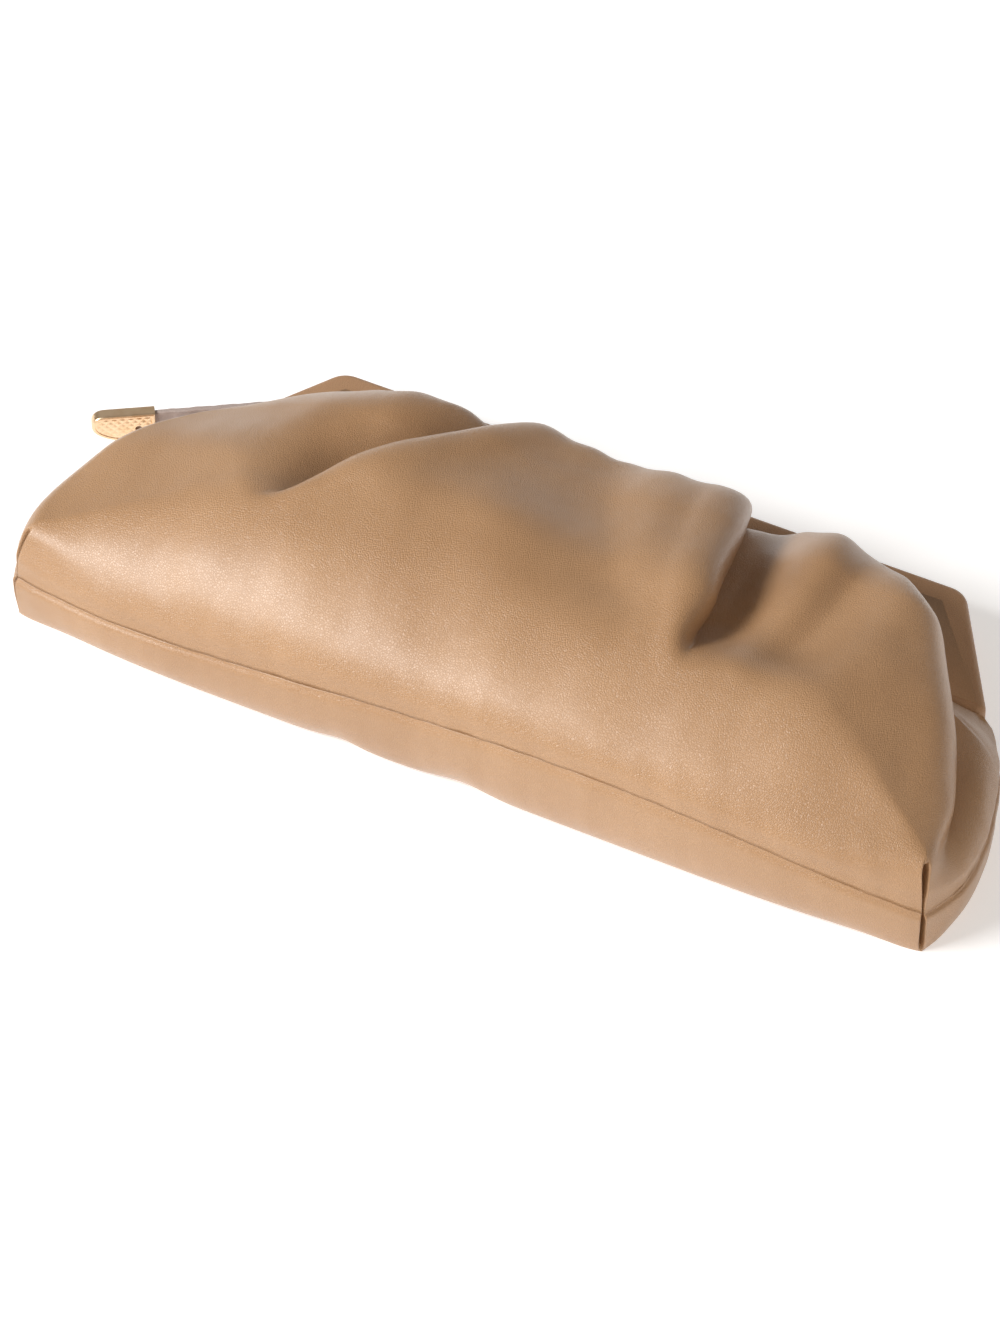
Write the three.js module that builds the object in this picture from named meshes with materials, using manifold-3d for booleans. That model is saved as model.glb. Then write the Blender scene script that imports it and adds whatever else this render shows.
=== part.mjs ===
// Soft leather pouch with a stiff, leather-covered frame at its mouth, lying on its back.
// X runs along the base, Y from the base seam to the mouth, Z up. All lengths are millimetres.
import * as THREE from 'three';
import { mergeVertices } from 'three/addons/utils/BufferGeometryUtils.js';
import Module from 'manifold-3d';

const wasm = await Module();
wasm.setup();

// Driving sizes of the soft body
const baseLength = 380;
const bodyHeight = 141;
const crownHeight = 77;
const leatherWall = 1.6;
const hingeHeight = 103;
const attachSpan = 272;
const seamHeight = 36;
const cornerSeamHeight = 20;
const hingeSeamHeight = 16;
const cornerTop = 42;
const baseBow = 9;
const slitDepth = 7;
const slitWidth = 3.2;
const restInset = 9;
const hingeMargin = 5;
const gatherDepth = 0.8;
const gatherCount = 21;
const leastRise = 13;
const backTurnShare = 0.55;

// Driving sizes of the stiff frame
const frameThickness = 8;
const hingeSpan = 337;
const mouthSpan = 268;
const frameHeight = 161.5;
const frameLegDrop = 11.5;
const frameLegWidth = 48;
const frameCornerRadius = 10;
const frameLegRound = 3.5;
const frameEdgeRound = 1.4;
const mouthGap = 0.6;
const pinDiameter = 3;
const pinRise = 6;
const pinOffset = 4;
const pinLength = 22;

// Driving sizes of the strap and its metal end
const strapWidth = 12.6;
const strapThickness = 2.4;
const strapLength = 57.5;
const strapSeatDepth = 13;
const strapAngle = 213.7;
const strapEntryHeight = 136;
const tipLength = 25;
const tipWidth = 14.4;
const tipThickness = 5.4;
const tipSocketDepth = 9;
const tipHoleDiameter = 2.8;
const tipEdgeRound = 0.7;

// Clearance between neighbouring pieces
const clearance = 0.3;

// Shares of the body height that shape the filled front
const middleShoulder = 0.6;
const edgeShoulder = 0.1;
const leftShoulderGain = 0.24;
const rightShoulderGain = 0.085;
const baseRollReach = 0.36;
const backRollShare = 0.24;
const puffShare = 0.05;
const gatherFadeShare = 0.3;
const fullSpanShare = 0.45;

// Shares of the crown height and of the least rise
const baseRollDepth = 0.31;
const leastBlend = 1 / 3;

// How the inset of the resting face changes along the seam, as shares of the rest inset
const sideInsetGain = 0.55;
const cornerInsetDrop = 0.8;
const swellShare = 0.14;

// How finely the faceted leather is divided
const panelRows = 20;
const backRows = 8;
const baseSpacing = 10;
const pleatSpacing = 4.6;
const sideSpacing = 8.5;

const leatherColour = 0xc09a7a;
const frameColour = 0x8a6a52;
const brassColour = 0xd9b27c;
const strapColour = 0xc4b0a2;

const halfBase = baseLength / 2;
const halfAttach = attachSpan / 2;
const sideBulge = 1.02;
const sidePath = hingeHeight * sideBulge;
const rimPath = halfBase + sidePath;
const cornerShare = halfBase / rimPath;
const legShare = 0.75;
const archShare = cornerShare + legShare * (1 - cornerShare);
const frameFloor = leatherWall + clearance;
const frameSplit = frameFloor + frameThickness;
const frameTop = frameSplit + mouthGap + frameThickness;
const attachHeight = frameTop + clearance;

// Base seam, left to right: place and height as shares of the half base and the seam's height
const baseSeam = [
  { along: -1.00, height: 0.00 },
  { along: -0.90, height: 0.06 },
  { along: -0.63, height: 0.25 },
  { along: -0.32, height: 0.60 },
  { along: 0.00, height: 0.92 },
  { along: 0.32, height: 1.05 },
  { along: 0.63, height: 0.82 },
  { along: 0.86, height: 0.40 },
  { along: 1.00, height: 0.00 },
];

// Side outline from the base corner to the hinge: rise as a share of the hinge height,
// reach as a share of the half base, seam height from corner (0) to hinge (1)
const sideOutline = [
  { rise: 0.00, reach: 1.000, drop: 0.00 },
  { rise: 0.10, reach: 1.022, drop: 0.15 },
  { rise: 0.24, reach: 1.036, drop: 0.30 },
  { rise: 0.43, reach: 1.028, drop: 0.50 },
  { rise: 0.59, reach: 1.006, drop: 0.65 },
  { rise: 0.76, reach: 0.975, drop: 0.78 },
  { rise: 0.90, reach: 0.934, drop: 0.90 },
  { rise: 0.98, reach: 0.905, drop: 1.00 },
];

// Top of the filled front along the bag: height and its fall towards the frame as shares of
// the crown height, place as a share of the half base
const crownLine = [
  { along: -1.05, height: 0.43, fall: 0.02 },
  { along: -1.00, height: 0.52, fall: 0.05 },
  { along: -0.92, height: 0.595, fall: 0.14 },
  { along: -0.82, height: 0.67, fall: 0.20 },
  { along: -0.68, height: 0.79, fall: 0.19 },
  { along: -0.55, height: 0.90, fall: 0.17 },
  { along: -0.37, height: 0.97, fall: 0.10 },
  { along: -0.16, height: 0.98, fall: 0.18 },
  { along: 0.00, height: 0.99, fall: 0.18 },
  { along: 0.16, height: 1.00, fall: 0.18 },
  { along: 0.37, height: 0.98, fall: 0.17 },
  { along: 0.53, height: 0.96, fall: 0.03 },
  { along: 0.68, height: 0.91, fall: 0.00 },
  { along: 0.79, height: 0.82, fall: 0.06 },
  { along: 0.90, height: 0.69, fall: 0.05 },
  { along: 1.00, height: 0.55, fall: 0.00 },
  { along: 1.05, height: 0.49, fall: 0.00 },
];

// Folds in plan. Each follows a curve through from, bend and to (shares of the half base and
// of the body height). Depth, lean and lip are shares of the crown height, steep and gentle
// are the widths of the two walls as shares of the body height. Side +1 puts the steep wall
// to the left of the curve, and grown is the share of the curve over which the fold deepens.
const folds = [
  {
    name: 'left pleat', from: [-0.59, 0.28], bend: [-0.41, 0.47], to: [-0.21, 0.94],
    depth: 0.32, steep: 0.050, gentle: 0.17, side: -1, lean: 0.105, lip: 0.03, grown: 0.5,
  },
  {
    name: 'right pleat', from: [0.42, 0.20], bend: [0.345, 0.50], to: [0.27, 1.00],
    depth: 0.27, steep: 0.048, gentle: 0.19, side: 1, lean: 0.13, lip: 0.02, grown: 0.42,
  },
  {
    name: 'right side fold', from: [1.01, 0.00], bend: [1.00, 0.30], to: [0.775, 0.76],
    depth: 0.34, steep: 0.050, gentle: 0.20, side: 1, lean: 0.08, lip: 0, grown: 0.45,
  },
  {
    name: 'centre hollow', from: [0.30, 0.20], bend: [0.10, 0.50], to: [0.00, 0.86],
    depth: 0.10, steep: 0.11, gentle: 0.17, side: -1, lean: 0, lip: 0, grown: 0.4,
  },
  {
    name: 'right valley', from: [0.50, 0.24], bend: [0.61, 0.41], to: [0.59, 0.85],
    depth: 0.13, steep: 0.085, gentle: 0.11, side: 1, lean: 0.01, lip: 0, grown: 0.5,
  },
];

// Small dents in the lower edge of the back panel, along the base as shares of the half base
const backDents = [
  { along: -0.25, width: 0.05, depth: 0.28 },
  { along: 0.02, width: 0.07, depth: 0.36 },
];

function clamp01(value) {
  return Math.min(Math.max(value, 0), 1);
}

function ease(from, to, value) {
  const t = clamp01((value - from) / (to - from));
  return t * t * (3 - 2 * t);
}

function bell(distance, width) {
  return Math.exp(-((distance / width) ** 2));
}

// Smooth curve through the rows of a table: key is the column read, at the place column
function readTable(rows, place, key, value) {
  const last = rows.length - 1;
  const slopes = rows.map((row, i) => {
    const before = rows[Math.max(i - 1, 0)];
    const after = rows[Math.min(i + 1, last)];
    return (after[key] - before[key]) / (after[place] - before[place]);
  });
  let i = 0;
  while (i < last - 1 && value > rows[i + 1][place]) {
    i += 1;
  }
  const span = rows[i + 1][place] - rows[i][place];
  const t = clamp01((value - rows[i][place]) / span);
  const t2 = t * t;
  const t3 = t2 * t;
  return (2 * t3 - 3 * t2 + 1) * rows[i][key]
    + (t3 - 2 * t2 + t) * span * slopes[i]
    + (3 * t2 - 2 * t3) * rows[i + 1][key]
    + (t3 - t2) * span * slopes[i + 1];
}

// The seam line: share runs from -1 at the left hinge, round the base, to 1 at the right hinge
function seamPoint(share) {
  const sign = share < 0 ? -1 : 1;
  const along = Math.abs(share) * rimPath;
  if (along <= halfBase) {
    const x = sign * along;
    const rise = readTable(baseSeam, 'along', 'height', x / halfBase);
    const z = cornerSeamHeight + (seamHeight - cornerSeamHeight) * rise;
    const y = -baseBow * (1 - (along / halfBase) ** 6);
    return new THREE.Vector3(x, y, z);
  }
  const rise = 0.98 * (along - halfBase) / sidePath;
  const reach = readTable(sideOutline, 'rise', 'reach', rise);
  const drop = readTable(sideOutline, 'rise', 'drop', rise);
  const z = cornerSeamHeight + (hingeSeamHeight - cornerSeamHeight) * drop;
  return new THREE.Vector3(sign * reach * halfBase, rise * hingeHeight, z);
}

// The line where the leather is fastened to the frame: an arch over the legs and the bar,
// then a short run out along the end of each leg to the hinge
function attachPoint(share, z) {
  const size = Math.abs(share);
  const turn = Math.min(1, size / archShare) ** 1.6 * Math.PI / 2;
  const out = Math.max(0, (size - archShare) / (1 - archShare));
  const hingeReach = seamPoint(1).x - hingeMargin;
  const x = halfAttach * Math.sin(turn) ** (2 / 3) + (hingeReach - halfAttach) * out;
  const y = hingeHeight + (bodyHeight - hingeHeight) * Math.cos(turn) ** (2 / 3);
  return new THREE.Vector3(Math.sign(share) * x, y, z);
}

function crown(x, y) {
  const along = x / halfBase;
  const height = readTable(crownLine, 'along', 'height', along);
  const fall = readTable(crownLine, 'along', 'fall', along);
  const nearBase = Math.max(0, baseRollReach - y / bodyHeight);
  const roll = baseRollDepth * nearBase ** 2 * (1 - Math.min(1, Math.abs(along) * 0.97) ** 4);
  return crownHeight * (height - fall * ease(0.42, 0.88, y / bodyHeight) - roll);
}

// The middle lines of the folds as short straight steps
const foldSteps = 24;
for (const fold of folds) {
  const toPlan = ([along, up]) => new THREE.Vector2(along * halfBase, up * bodyHeight);
  const curve = new THREE.QuadraticBezierCurve(
    toPlan(fold.from), toPlan(fold.bend), toPlan(fold.to),
  );
  fold.line = curve.getPoints(foldSteps);
}

// Nearest place on a fold's middle line: distance to its left, share run, direction, overrun
function placeOnFold(fold, x, y) {
  let best = { distance: Infinity };
  for (let i = 0; i < foldSteps; i += 1) {
    const start = fold.line[i];
    const step = fold.line[i + 1].clone().sub(start);
    const length = step.length();
    step.divideScalar(length);
    const dx = x - start.x;
    const dy = y - start.y;
    const run = dx * step.x + dy * step.y;
    const held = Math.min(Math.max(run, 0), length);
    const distance = Math.hypot(dx - held * step.x, dy - held * step.y);
    if (distance < best.distance) {
      const isEnd = (run < 0 && i === 0) || (run > length && i === foldSteps - 1);
      best = {
        distance,
        left: dy * step.x - dx * step.y,
        run: (i + held / length) / foldSteps,
        normal: [-step.y, step.x],
        over: isEnd ? Math.abs(run - held) : 0,
      };
    }
  }
  return best;
}

// How the folds push one point of the front: sideways in plan, and down
function foldShift(x, y) {
  const shift = new THREE.Vector3();
  const endFade = 0.1 * bodyHeight;
  for (const fold of folds) {
    const place = placeOnFold(fold, x, y);
    const across = -fold.side * place.left;
    const amount = ease(0, fold.grown, place.run) * bell(place.over, endFade);
    const steep = fold.steep * bodyHeight;
    const width = across < 0 ? steep : fold.gentle * bodyHeight;
    const lip = fold.lip * bell(across + 1.6 * steep, 1.2 * steep);
    shift.z += amount * crownHeight * (lip - fold.depth * bell(across, width));
    const brow = bell(across + steep, 0.9 * steep);
    const foot = bell(across - 0.25 * steep, 0.8 * steep);
    const lean = fold.lean * (brow - 0.55 * foot);
    const sideways = -fold.side * amount ** 2 * crownHeight * lean;
    shift.x += sideways * place.normal[0];
    shift.y += sideways * place.normal[1];
  }
  return shift;
}

// The tucked corner: a narrow slit that runs up across the seam, wider on the inner face
function cutSlit(point, share, strength, widen) {
  const fromCorner = (Math.abs(share) - cornerShare) * rimPath;
  const depth = (slitDepth + widen) * strength * bell(fromCorner, slitWidth / 2 + widen);
  point.x -= Math.sign(share) * depth;
  point.y += depth;
}

// How strongly the slit shows at a height: full at the seam, closed at its two ends
function slitStrength(z) {
  return ease(0, 0.3 * cornerSeamHeight, z) * (1 - ease(0.86 * cornerTop, cornerTop, z));
}

// How far in from the seam the front takes to reach its full height
function shoulderReach(share) {
  const size = Math.abs(share);
  if (size < cornerShare) {
    const outward = (size / cornerShare) ** 3.2;
    return bodyHeight * (middleShoulder + (edgeShoulder - middleShoulder) * outward);
  }
  const up = ease(0, 0.6, (size - cornerShare) / (1 - cornerShare));
  return bodyHeight * (edgeShoulder + (share < 0 ? leftShoulderGain : rightShoulderGain) * up);
}

// One point of the front's outer face; rise runs from 0 at the seam to 1 at the frame
function frontPoint(share, rise) {
  const seam = seamPoint(share);
  const attach = attachPoint(share, attachHeight);
  const span = Math.hypot(attach.x - seam.x, attach.y - seam.y);
  const point = seam.clone().lerp(attach, rise);
  const low = point.z;
  const shoulder = Math.min(0.95, shoulderReach(share) / span);
  const rolled = Math.min(1, rise / shoulder);
  const up = Math.sqrt(Math.max(0, 1 - (1 - rolled) ** 2));
  const backRoll = Math.min(0.9, backRollShare * bodyHeight / span);
  const over = Math.max(0, (rise - 1 + backRoll) / backRoll);
  const lift = up * Math.sqrt(Math.max(0, 1 - over ** 2));
  const gatherFade = ease(0, gatherFadeShare * bodyHeight, span);
  const gather = gatherDepth * over ** 2 * gatherFade * Math.sin(Math.PI * gatherCount * share);
  const puff = (puffShare * bodyHeight * Math.sin(Math.PI * over ** 2) + gather) / span;
  const shift = foldShift(point.x, point.y);
  const full = ease(0, fullSpanShare * bodyHeight, span);
  point.z = low + (crown(point.x, point.y) - low) * lift * full;
  point.x += shift.x * lift * full + puff * full * (attach.x - seam.x);
  point.y += shift.y * lift * full + puff * full * (attach.y - seam.y);
  const least = low + leastRise * lift * full;
  const folded = point.z + shift.z * lift * full;
  const blend = leastBlend * leastRise * lift * full;
  point.z = (folded + least + Math.hypot(folded - least, blend)) / 2;
  return point;
}

// One point of the back's outer face: down from the seam to the floor, then in to the frame
function backPoint(share, rise) {
  const seam = seamPoint(share);
  const attach = attachPoint(share, 0);
  const span = Math.hypot(attach.x - seam.x, attach.y - seam.y);
  const turn = Math.min(1, rise / backTurnShare) * Math.PI / 2;
  const onFloor = clamp01((rise - backTurnShare) / (1 - backTurnShare));
  const corner = bell((Math.abs(share) - cornerShare) * rimPath, 0.1 * halfBase);
  const side = ease(cornerShare, 1, Math.abs(share));
  const insetHere = restInset * (1 + sideInsetGain * side) * (1 - cornerInsetDrop * corner);
  const inset = Math.min(insetHere, 0.5 * span);
  const swell = swellShare * restInset * Math.sin(2 * turn) * (1 - corner);
  let dent = 0;
  for (const row of backDents) {
    const onBase = Math.abs(share) < cornerShare ? 1 : 0;
    dent += onBase * row.depth * restInset * bell(seam.x / halfBase - row.along, row.width);
  }
  const inward = inset * (1 - Math.cos(turn)) - swell + dent * Math.sin(turn) ** 3;
  const reach = inward + (span - inward) * onFloor;
  return new THREE.Vector3(
    seam.x + (attach.x - seam.x) * reach / span,
    seam.y + (attach.y - seam.y) * reach / span,
    (seam.z - clearance) * (1 - Math.sin(turn) ** 0.9),
  );
}

// Column places along the seam: close together over the pleats and across the slits
function columnShares(sparse) {
  const crowded = [
    { from: -0.68, to: -0.24, spacing: pleatSpacing },
    { from: 0.30, to: 0.66, spacing: pleatSpacing },
  ];
  const nearCorner = 1.6 * slitWidth;
  const slitOffsets = [-1.44, -0.94, -0.53, -0.22, 0, 0.22, 0.53, 0.94, 1.44];
  const stations = [0];
  for (const sign of [-1, 1]) {
    let along = 0;
    while (along < halfBase - nearCorner - 0.6 * baseSpacing) {
      const here = crowded.find((row) => {
        const place = sign * along / halfBase;
        return place >= row.from && place < row.to;
      });
      along += sparse * (here ? here.spacing : baseSpacing);
      if (along < halfBase - nearCorner) stations.push(sign * along);
    }
    for (const offset of slitOffsets) {
      stations.push(sign * (halfBase + offset * slitWidth));
    }
    const sideCount = Math.round((sidePath - nearCorner) / (sparse * sideSpacing));
    for (let i = 1; i <= sideCount; i += 1) {
      stations.push(sign * (halfBase + nearCorner + (sidePath - nearCorner) * i / sideCount));
    }
  }
  return stations.sort((a, b) => a - b).map((along) => along / rimPath);
}

// Directions that point out of a grid of points, averaged from its faces
function gridNormals(grid, facing) {
  const normals = grid.map((row) => row.map(() => new THREE.Vector3()));
  for (let j = 0; j < grid.length - 1; j += 1) {
    for (let i = 0; i < grid[0].length - 1; i += 1) {
      const first = grid[j + 1][i + 1].clone().sub(grid[j][i]);
      const second = grid[j + 1][i].clone().sub(grid[j][i + 1]);
      const face = first.cross(second).multiplyScalar(facing);
      for (const [dj, di] of [[0, 0], [0, 1], [1, 0], [1, 1]]) {
        normals[j + dj][i + di].add(face);
      }
    }
  }
  for (const normal of normals[0]) normal.z = 0;
  for (const row of normals) {
    for (const normal of row) normal.normalize();
  }
  return normals;
}

// A leather panel with one wall thickness. facing is 1 where the grid's columns and rows
// turn outwards by the right-hand rule, and -1 where they turn inwards.
function leatherPanel(shares, rises, pointAt, facing) {
  const grid = rises.map((rise) => shares.map((share) => pointAt(share, rise)));
  const normals = gridNormals(grid, facing);
  const columns = shares.length;
  const rows = rises.length;
  const positions = [];
  for (const widen of [0, leatherWall]) {
    for (let j = 0; j < rows; j += 1) {
      for (let i = 0; i < columns; i += 1) {
        const point = grid[j][i].clone();
        const strength = slitStrength(point.z);
        point.addScaledVector(normals[j][i], -widen);
        cutSlit(point, shares[i], strength, widen);
        positions.push(point.x, point.y, point.z);
      }
    }
  }
  const outer = (j, i) => j * columns + i;
  const inner = (j, i) => (rows + j) * columns + i;
  const faces = [];
  const addQuad = (a, b, c, d) => {
    if (facing > 0) faces.push(a, b, c, a, c, d);
    else faces.push(a, c, b, a, d, c);
  };
  for (let j = 0; j < rows - 1; j += 1) {
    for (let i = 0; i < columns - 1; i += 1) {
      addQuad(outer(j, i), outer(j, i + 1), outer(j + 1, i + 1), outer(j + 1, i));
      addQuad(inner(j, i), inner(j + 1, i), inner(j + 1, i + 1), inner(j, i + 1));
    }
    addQuad(outer(j, 0), outer(j + 1, 0), inner(j + 1, 0), inner(j, 0));
    const end = columns - 1;
    addQuad(outer(j + 1, end), outer(j, end), inner(j, end), inner(j + 1, end));
  }
  for (let i = 0; i < columns - 1; i += 1) {
    addQuad(outer(0, i + 1), outer(0, i), inner(0, i), inner(0, i + 1));
    const top = rows - 1;
    addQuad(outer(top, i), outer(top, i + 1), inner(top, i + 1), inner(top, i));
  }
  const geometry = new THREE.BufferGeometry();
  geometry.setAttribute('position', new THREE.Float32BufferAttribute(positions, 3));
  geometry.setIndex(faces);
  geometry.computeVertexNormals();
  return geometry;
}

function frontPanel() {
  const rises = [];
  for (let j = 0; j <= panelRows; j += 1) {
    const t = j / panelRows;
    rises.push(t - 0.09 * Math.sin(2 * Math.PI * t));
  }
  return leatherPanel(columnShares(1), rises, frontPoint, 1);
}

function backPanel() {
  const rises = [];
  for (let j = 0; j < backRows; j += 1) {
    rises.push(backTurnShare * j / (backRows - 1));
  }
  rises.push(1);
  return leatherPanel(columnShares(2), rises, backPoint, -1);
}

// Closed three.js geometry to a solid and back, for the cuts
function toSolid(geometry) {
  const bare = geometry.clone();
  bare.deleteAttribute('normal');
  bare.deleteAttribute('uv');
  const merged = mergeVertices(bare, 1e-4);
  return new wasm.Manifold(new wasm.Mesh({
    numProp: 3,
    vertProperties: new Float32Array(merged.attributes.position.array),
    triVerts: new Uint32Array(merged.index.array),
  }));
}

function fromSolid(solid) {
  const mesh = solid.getMesh();
  const geometry = new THREE.BufferGeometry();
  geometry.setAttribute('position', new THREE.BufferAttribute(mesh.vertProperties, 3));
  geometry.setIndex(new THREE.BufferAttribute(mesh.triVerts, 1));
  return geometry;
}

// A flat outline made solid between two heights, with its edges rounded
function roundedPlate(shape, low, high, round) {
  const geometry = new THREE.ExtrudeGeometry(shape, {
    depth: high - low - 2 * round,
    bevelEnabled: true,
    bevelThickness: round,
    bevelSize: round,
    bevelOffset: -round,
    bevelSegments: 1,
    curveSegments: 4,
  });
  return geometry.translate(0, 0, low + round);
}

// A closed outline through corners listed anticlockwise, each with the radius of its rounding
function roundedOutline(corners) {
  const shape = new THREE.Shape();
  corners.forEach(([x, y, radius], i) => {
    const corner = new THREE.Vector2(x, y);
    const [beforeX, beforeY] = corners[(i + corners.length - 1) % corners.length];
    const [afterX, afterY] = corners[(i + 1) % corners.length];
    const back = new THREE.Vector2(beforeX, beforeY).sub(corner).normalize();
    const ahead = new THREE.Vector2(afterX, afterY).sub(corner).normalize();
    const half = Math.acos(back.dot(ahead)) / 2;
    const isHollow = back.cross(ahead) > 0;
    const start = corner.clone().addScaledVector(back, radius / Math.tan(half));
    const middle = back.clone().add(ahead).normalize().multiplyScalar(radius / Math.sin(half));
    const centre = middle.add(corner);
    const end = corner.clone().addScaledVector(ahead, radius / Math.tan(half));
    const from = start.sub(centre).angle();
    const to = end.sub(centre).angle();
    shape.absarc(centre.x, centre.y, radius, from, to, isHollow);
  });
  shape.closePath();
  return shape;
}

// The frame's side slopes from the end of its leg in to the mouth
const frameLegEnd = hingeHeight + 5 * clearance;

function frameSideX(y) {
  const rise = (y - frameLegEnd) / (frameHeight - frameLegEnd);
  return hingeSpan / 2 + rise * (mouthSpan - hingeSpan) / 2;
}

// The frame's outline: two legs and a bar, open between the legs towards the base
function frameShape() {
  const legInner = hingeSpan / 2 - frameLegWidth;
  const barInner = frameLegEnd + frameLegDrop;
  return roundedOutline([
    [legInner, frameLegEnd, frameLegRound],
    [hingeSpan / 2, frameLegEnd, frameLegRound],
    [mouthSpan / 2, frameHeight, frameCornerRadius],
    [-mouthSpan / 2, frameHeight, frameCornerRadius],
    [-hingeSpan / 2, frameLegEnd, frameLegRound],
    [-legInner, frameLegEnd, frameLegRound],
    [-legInner, barInner, frameLegRound],
    [legInner, barInner, frameLegRound],
  ]);
}

// Hinge pins lie along X in the joint between the two halves, near the ends of the legs
const pinHeight = frameSplit + mouthGap / 2;
const pinY = frameLegEnd + pinRise;
const pinX = hingeSpan / 2 - frameLegWidth / 2 + pinOffset;

function pinGeometry(radius, length) {
  return new THREE.CylinderGeometry(radius, radius, length, 12).rotateZ(Math.PI / 2);
}

// The strap leaves the left side of the frame along this direction, standing on its edge
const strapTurn = THREE.MathUtils.degToRad(strapAngle);
const strapRun = new THREE.Vector3(Math.cos(strapTurn), Math.sin(strapTurn), 0);
const strapExit = new THREE.Vector3(
  -frameSideX(strapEntryHeight), strapEntryHeight, frameFloor + clearance + tipWidth / 2,
);

// Places a piece made along +X, with its start at the origin, on the strap's line
function placeOnStrap(geometry, from) {
  const start = strapExit.clone().addScaledVector(strapRun, from);
  return geometry.rotateZ(strapTurn).translate(start.x, start.y, start.z);
}

function strapBar(from, length, thickness, width) {
  const bar = new THREE.BoxGeometry(length, thickness, width).translate(length / 2, 0, 0);
  return placeOnStrap(bar, from);
}

// One half of the frame, with grooves for the hinge pins and a slot for the strap
function frameHalf(low, high) {
  let solid = toSolid(roundedPlate(frameShape(), low, high, frameEdgeRound));
  for (const side of [-1, 1]) {
    const groove = pinGeometry(pinDiameter / 2 + clearance, pinLength + 2 * clearance);
    solid = solid.subtract(toSolid(groove.translate(side * pinX, pinY, pinHeight)));
  }
  const slot = strapBar(
    -strapSeatDepth - clearance, 2 * strapSeatDepth,
    strapThickness + 2 * clearance, strapWidth + 2 * clearance,
  );
  return fromSolid(solid.subtract(toSolid(slot)));
}

// Leather strap end: seated in the frame's slot, its free end inside the metal tip
function strapEnd() {
  return strapBar(-strapSeatDepth, strapSeatDepth + strapLength, strapThickness, strapWidth);
}

// Metal tip: a tongue seen from its flat side, blunt above and drawn out below
function strapTip() {
  const nose = tipLength;
  const half = tipWidth / 2;
  const noseRise = 0.3 * half;
  const shape = new THREE.Shape();
  shape.moveTo(0, -half);
  shape.lineTo(0.1 * nose, -half);
  shape.bezierCurveTo(0.65 * nose, -half, nose, -0.45 * half, nose, noseRise);
  shape.bezierCurveTo(nose, 0.75 * half, 0.92 * nose, half, 0.78 * nose, half);
  shape.lineTo(0, half);
  shape.closePath();
  const round = tipEdgeRound;
  const body = roundedPlate(shape, -tipThickness / 2, tipThickness / 2, round).rotateX(Math.PI / 2);
  const socket = new THREE.BoxGeometry(
    2 * tipSocketDepth, strapThickness + 2 * clearance, strapWidth + 2 * clearance,
  );
  const hole = new THREE.CylinderGeometry(
    tipHoleDiameter / 2, tipHoleDiameter / 2, 2 * tipThickness, 12,
  ).translate(tipSocketDepth / 2 + 2.2, 0, 0);
  const solid = toSolid(body).subtract(toSolid(socket)).subtract(toSolid(hole));
  return placeOnStrap(fromSolid(solid), strapLength - tipSocketDepth + clearance);
}

function addPiece(group, name, geometry, colour, roughness, metalness) {
  const material = new THREE.MeshStandardMaterial({ color: colour, roughness, metalness });
  const mesh = new THREE.Mesh(geometry, material);
  mesh.name = name;
  group.add(mesh);
  return mesh;
}

const pouch = new THREE.Group();
addPiece(pouch, 'front_panel', frontPanel(), leatherColour, 0.55, 0);
addPiece(pouch, 'back_panel', backPanel(), leatherColour, 0.55, 0);
addPiece(pouch, 'back_frame', frameHalf(frameFloor, frameSplit), frameColour, 0.5, 0);
addPiece(pouch, 'front_frame', frameHalf(frameSplit + mouthGap, frameTop), frameColour, 0.5, 0);
for (const [name, side] of [['left_hinge_pin', -1], ['right_hinge_pin', 1]]) {
  const pin = pinGeometry(pinDiameter / 2, pinLength);
  addPiece(pouch, name, pin, brassColour, 0.3, 1).position.set(side * pinX, pinY, pinHeight);
}
addPiece(pouch, 'strap', strapEnd(), strapColour, 0.6, 0);
addPiece(pouch, 'strap_tip', strapTip(), brassColour, 0.25, 1);

// The origin is the middle of the bag's footprint, on the floor
pouch.updateMatrixWorld(true);
const box = new THREE.Box3().setFromObject(pouch);
pouch.position.set(-(box.min.x + box.max.x) / 2, -(box.min.y + box.max.y) / 2, -box.min.z);

export default pouch;
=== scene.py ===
"""Leather frame pouch lying on its back: looks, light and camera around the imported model."""
import math

import bpy
import numpy as np
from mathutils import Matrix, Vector
from mathutils.geometry import delaunay_2d_cdt


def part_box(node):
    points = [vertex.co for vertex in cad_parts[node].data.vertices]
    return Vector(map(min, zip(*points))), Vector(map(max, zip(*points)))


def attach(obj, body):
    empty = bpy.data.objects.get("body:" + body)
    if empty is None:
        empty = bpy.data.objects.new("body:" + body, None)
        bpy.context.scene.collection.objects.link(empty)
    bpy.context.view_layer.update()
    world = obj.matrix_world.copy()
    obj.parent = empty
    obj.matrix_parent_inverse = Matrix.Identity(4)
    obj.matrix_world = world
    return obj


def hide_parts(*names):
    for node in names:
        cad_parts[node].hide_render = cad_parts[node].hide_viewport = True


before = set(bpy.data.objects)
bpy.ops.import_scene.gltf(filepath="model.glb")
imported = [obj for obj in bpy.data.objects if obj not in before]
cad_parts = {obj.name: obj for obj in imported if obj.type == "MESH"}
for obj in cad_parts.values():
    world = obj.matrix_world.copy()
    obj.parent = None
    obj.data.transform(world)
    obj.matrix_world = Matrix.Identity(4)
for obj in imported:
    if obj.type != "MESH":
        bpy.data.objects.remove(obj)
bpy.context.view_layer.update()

MM = 0.001

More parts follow.
